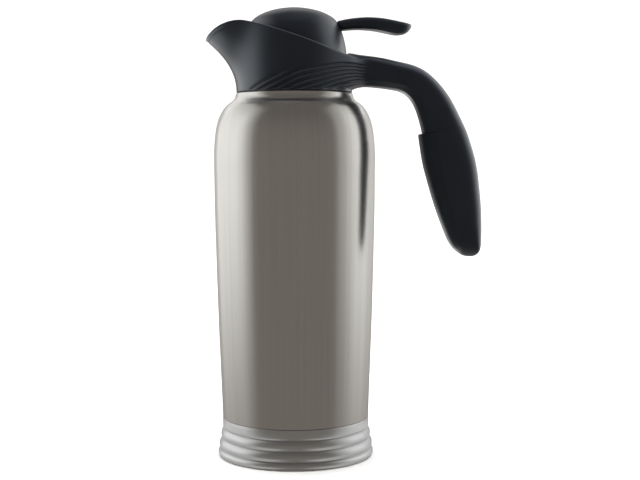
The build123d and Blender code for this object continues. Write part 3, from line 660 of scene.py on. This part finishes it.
def speckled(name, dark, light, rough, grain, bump_mm, **values):
    """Moulded plastic, rubber or plain metal: slight colour variation, uneven gloss and a fine skin."""
    material, principled = shader(name, **values)
    place = node(material, "ShaderNodeTexCoord")
    skin = stretched_noise(material, place.outputs["Object"], (grain, grain, grain), 4.0)
    cloud = stretched_noise(material, place.outputs["Object"], (22.0, 22.0, 22.0), 2.0)
    link(material, ramp(material, cloud, [(0.3, dark), (0.7, light)]), principled.inputs["Base Color"])
    gloss_between(material, principled, cloud, *rough)
    bumpy(material, principled, skin, 0.5, bump_mm * MM)
    return material


# Dark tone, light tone, range of roughness, grain per metre and height of the skin in millimetres.
METALS = {
    "inner_steel": ((0.58, 0.57, 0.55), (0.66, 0.65, 0.63), (0.28, 0.36), 900, 0.01),
    "foil": ((0.80, 0.74, 0.62), (0.88, 0.83, 0.73), (0.15, 0.25), 200, 0.05),
    "getter_metal": ((0.30, 0.30, 0.30), (0.40, 0.40, 0.40), (0.6, 0.7), 2500, 0.03),
    "pin_steel": ((0.52, 0.52, 0.51), (0.60, 0.60, 0.59), (0.25, 0.32), 900, 0.01),
    "spring_steel": ((0.48, 0.48, 0.47), (0.56, 0.56, 0.55), (0.28, 0.36), 900, 0.01),
}
OTHERS = {
    "glass_bead": ((0.30, 0.22, 0.12), (0.40, 0.30, 0.18), (0.1, 0.2), 300, 0.01),
    "insert_plastic": ((0.020, 0.021, 0.023), (0.028, 0.029, 0.031), (0.45, 0.55), 1500, 0.015),
    "foot_rubber": ((0.02, 0.02, 0.02), (0.03, 0.03, 0.03), (0.7, 0.8), 1200, 0.04),
    "silicone": ((0.42, 0.42, 0.40), (0.50, 0.50, 0.48), (0.45, 0.55), 700, 0.02),
    "foam": ((0.70, 0.67, 0.52), (0.80, 0.77, 0.62), (0.85, 0.95), 700, 0.3),
}
BLACK = ((0.0030, 0.0042, 0.0075), (0.0042, 0.0056, 0.0098))
BLACK_SHEEN = (0.84, 0.93, 1.0, 1.0)


def finishes():
    """Every material, by the name of its slot."""
    made = {"brushed_steel": brushed_steel(), "polished_steel": polished_steel()}
    for name, values in METALS.items():
        made[name] = speckled(name, *values, Metallic=1.0)
    for name, values in OTHERS.items():
        made[name] = speckled(name, *values)
    made["black_plastic"] = speckled("black_plastic", *BLACK, (0.34, 0.40), 1600, 0.012,
                                     Specular_IOR_Level=0.5, Specular_Tint=BLACK_SHEEN)
    made["soft_grip"] = speckled("soft_grip", *BLACK, (0.42, 0.48), 2200, 0.014,
                                 Specular_IOR_Level=0.45, Specular_Tint=BLACK_SHEEN)
    return made


def dress(pieces, materials):
    """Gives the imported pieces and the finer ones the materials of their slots."""
    slots = {s["node"]: s["material_slot"] for s in frame["record"]["subparts"]}
    for name, obj in frame["nodes"].items():
        obj.data.materials.clear()
        obj.data.materials.append(materials[slots[name]])
        obj.data.shade_smooth()
        obj.data.set_sharp_from_angle(angle=math.radians(SHARP_DEG))
    for obj, slot in pieces:
        obj.data.materials.append(materials[slot])


# ---------------------------------------------------------------- studio
# The studio is in metres. A profile gives a panel's strength by the share of its height.
UPPER_PROFILE = [(0.292, 1.0), (0.5, 0.92), (0.7, 0.62), (1.0, 0.3)]
PANEL_PROFILE = [(0.0, 0.10), (0.054, 0.33), (0.096, 0.53), (0.142, 0.71), (0.167, 0.83), (0.21, 0.93)]
PANEL_PROFILE += UPPER_PROFILE
LEFT_PROFILE = [(0.0, 0.06), (0.054, 0.25), (0.096, 0.45), (0.142, 0.66), (0.167, 0.8), (0.21, 0.92)]
LEFT_PROFILE += UPPER_PROFILE
WALL_LOW = -0.4
WALL_HIGH = 2.0
WALL_DISTANCE = 1.2
FILL_DISTANCE = 1.15       # the side fills light the mouldings only and stand in front of the walls
HEAD_PLACE = (0, 0, 0.27)


def shade_upwards(data, profile):
    """Varies a soft box along its height: pairs of a share of the height and a strength."""
    data.use_nodes = True
    nodes = data.node_tree.nodes
    links = data.node_tree.links
    where = nodes.new("ShaderNodeNewGeometry")
    split = nodes.new("ShaderNodeSeparateXYZ")
    strength = nodes.new("ShaderNodeValToRGB")
    elements = strength.color_ramp.elements
    while len(elements) < len(profile):
        elements.new(0.5)
    for element, (place, value) in zip(elements, profile):
        element.position = place
        element.color = (value, value, value, 1.0)
    links.new(where.outputs["Parametric"], split.inputs[0])
    links.new(split.outputs["Y"], strength.inputs["Fac"])
    links.new(strength.outputs["Color"], nodes["Emission"].inputs["Strength"])


def panel(name, place, target, size, radiance, mirrored=True, profile=None, lights=None):
    """A soft box of that radiance.

    One that isn't mirrored lights matt surfaces only. lights is the collection that it falls on, if not on all.
    """
    data = bpy.data.lights.new(name, "AREA")
    data.shape = "RECTANGLE"
    data.size, data.size_y = size
    data.energy = radiance * math.pi * size[0] * size[1]
    if profile:
        shade_upwards(data, profile)
    lamp = bpy.data.objects.new(name, data)
    lamp.location = place
    lamp.rotation_euler = (Vector(target) - Vector(place)).to_track_quat("-Z", "Y").to_euler()
    lamp.visible_camera = False
    lamp.visible_glossy = mirrored
    if lights:
        lamp.light_linking.receiver_collection = lights
    bpy.context.scene.collection.objects.link(lamp)


def around(angle_deg, distance, height):
    """A place round the carafe: 0 is towards the camera, negative to its left."""
    turn = math.radians(angle_deg)
    return (distance * math.sin(turn), -distance * math.cos(turn), height)


def wall_panel(name, from_deg, to_deg, radiance, lights=None, low=WALL_LOW, high=WALL_HIGH,
               distance=WALL_DISTANCE, profile=PANEL_PROFILE):
    """An upright soft box that spans those angles round the carafe."""
    middle = (from_deg + to_deg) / 2
    width = 2 * distance * math.tan(math.radians(abs(to_deg - from_deg) / 2))
    height = (low + high) / 2
    place = around(middle, distance, height)
    panel(name, place, (0, 0, height), (width, high - low), radiance, profile=profile, lights=lights)


def stepped_panels(name, steps, profile=PANEL_PROFILE):
    """Neighbouring upright soft boxes: a list of (angle, radiance), each lasting until the next angle."""
    for number, ((start, radiance), (end, _)) in enumerate(zip(steps, steps[1:])):
        wall_panel(f"{name}_{number}", start, end, radiance, profile=profile)


def studio_floor():
    """A pale floor that curves up into a backdrop far behind. Steel mirrors the dim room instead of it."""
    material, principled = shader("floor_white", Roughness=0.9)
    place = node(material, "ShaderNodeTexCoord")
    cloud = stretched_noise(material, place.outputs["Object"], (3.0, 3.0, 3.0), 2.0)
    colour = ramp(material, cloud, [(0.3, (0.90, 0.90, 0.90)), (0.7, (0.92, 0.92, 0.92))])
    link(material, colour, principled.inputs["Base Color"])
    width, front, back, bend, high = 4.0, -2.2, 1.6, 0.5, 2.6
    turns = np.linspace(0, math.pi / 2, 12)[1:]
    side = [(front, 0.0), (back, 0.0)]
    side += [(back + bend * math.sin(turn), bend * (1 - math.cos(turn))) for turn in turns]
    side += [(back + bend, high)]
    vertices, faces = [], []
    for y, z in side:
        vertices += [(-width / MM, y / MM, z / MM), (width / MM, y / MM, z / MM)]
    for i in range(len(side) - 1):
        faces.append([2 * i, 2 * i + 1, 2 * i + 3, 2 * i + 2])
    floor = mesh_object("studio_floor", vertices, faces)
    floor.data.materials.append(material)
    floor.visible_glossy = False
    floor.visible_shadow = False


def studio_world():
    """The dim room that the pieces mirror between the panels, a little darker towards its top."""
    world = bpy.data.worlds.new("studio_world")
    world.use_nodes = True
    nodes = world.node_tree.nodes
    links = world.node_tree.links
    background = nodes["Background"]
    background.inputs["Color"].default_value = (1.0, 0.90, 0.82, 1.0)
    where = nodes.new("ShaderNodeTexCoord")
    split = nodes.new("ShaderNodeSeparateXYZ")
    strength = nodes.new("ShaderNodeMapRange")
    for key, value in (("From Min", 0.1), ("From Max", 0.75), ("To Min", 0.215), ("To Max", 0.15)):
        strength.inputs[key].default_value = value
    links.new(where.outputs["Generated"], split.inputs[0])
    links.new(split.outputs["Z"], strength.inputs["Value"])
    links.new(strength.outputs[0], background.inputs["Strength"])
    bpy.context.scene.world = world


def studio(mouldings, head, steel, ring):
    """The light: panels that everything mirrors, and panels for one of the given groups of pieces."""
    bpy.context.scene.view_settings.view_transform = "Standard"
    studio_world()
    left_steps = [(-61, 0.30), (-67.5, 0.42), (-73, 0.70), (-80, 0.93), (-90, 0.98), (-142, 0.0)]
    stepped_panels("left_panel", left_steps, LEFT_PROFILE)
    stepped_panels("right_panel", [(64, 0.29), (73, 0.36), (80, 0.55), (88, 0.75), (95, 0.90), (130, 0.0)])
    wall_panel("right_back_panel", 130, 150, 0.60, steel)
    wall_panel("back_panel", 150, 218, 0.4, steel)
    wall_panel("high_back_panel", 140, 220, 0.5, steel, low=0.62, high=1.25, distance=1.1, profile=None)
    panel("ring_glow_left", (-0.9, 0.45, -0.3), (-0.9, 0.45, 1.0), (1.5, 2.1), 0.35, lights=ring)
    panel("ring_glow_right", (0.9, 0.45, -0.3), (0.9, 0.45, 1.0), (1.5, 2.1), 0.35, lights=ring)
    panel("floor_panel", (0.0, 0.3, 2.4), (0, 0.3, 0), (3.6, 3.6), 3.4, mirrored=False)
    wall_panel("left_fill", -71, -142, 1.25, mouldings, distance=FILL_DISTANCE)
    wall_panel("right_fill", 74, 118, 1.5, mouldings, distance=FILL_DISTANCE)
    wall_panel("right_back_fill", 118, 150, 1.9, mouldings, distance=FILL_DISTANCE)
    panel("top_fill", (0.2, -0.1, 1.5), HEAD_PLACE, (1.2, 0.9), 0.27, lights=mouldings)
    wall_panel("crown_fill", 148, 212, 0.8, mouldings, low=0.8, high=1.6, profile=None)
    panel("ridge_fill", (0.1, -0.15, 1.45), HEAD_PLACE, (1.6, 1.1), 1.1, lights=head)
    panel("floor_glow_left", (-0.5, 1.3, -0.35), (-0.5, 1.3, 1.0), (0.95, 3.2), 2.4, lights=mouldings)
    panel("floor_glow_right", (0.45, 1.3, -0.35), (0.45, 1.3, 1.0), (0.95, 3.2), 0.3, lights=mouldings)
    studio_floor()


def camera():
    """The photograph's view, from 0.85 m before the carafe and 17 mm to the right of its axis."""
    focal_px = 1226.0
    frame_px = 640.0
    place = (0.0174, -0.850, 0.206)
    pitch = math.radians(3.79)
    roll = math.radians(-0.16)
    data = bpy.data.cameras.new("camera")
    data.sensor_width = 36.0
    data.lens = focal_px * data.sensor_width / frame_px
    data.clip_start = 0.01
    obj = bpy.data.objects.new("camera", data)
    turn = Matrix.Rotation(math.pi / 2 - pitch, 4, "X") @ Matrix.Rotation(roll, 4, "Z")
    obj.matrix_world = Matrix.Translation(place) @ turn
    bpy.context.scene.collection.objects.link(obj)
    bpy.context.scene.camera = obj


# ---------------------------------------------------------------- build
def build():
    """Every piece with its material, then the studio and the camera."""
    materials = finishes()
    pieces = [
        (pour_head(), "black_plastic"),
        (grip_pad(), "soft_grip"),
        (lid_dome(), "black_plastic"),
        (thumb_lever(), "black_plastic"),
        (outer_shell(), "brushed_steel"),
        (base_ring(), "polished_steel"),
    ]
    dress(pieces, materials)
    forms = {obj.name: obj for obj, _ in pieces}
    groups = {
        "mouldings": ("pour_head_form", "grip_pad_form", "lid_dome_form", "thumb_lever_form"),
        "head": ("pour_head_form",),
        "steel": ("outer_shell_form", "base_ring_form"),
        "ring": ("base_ring_form",),
    }
    collections = {name: bpy.data.collections.new(name) for name in groups}
    for name, members in groups.items():
        for member in members:
            collections[name].objects.link(forms[member])
    studio(**collections)
    camera()


build()
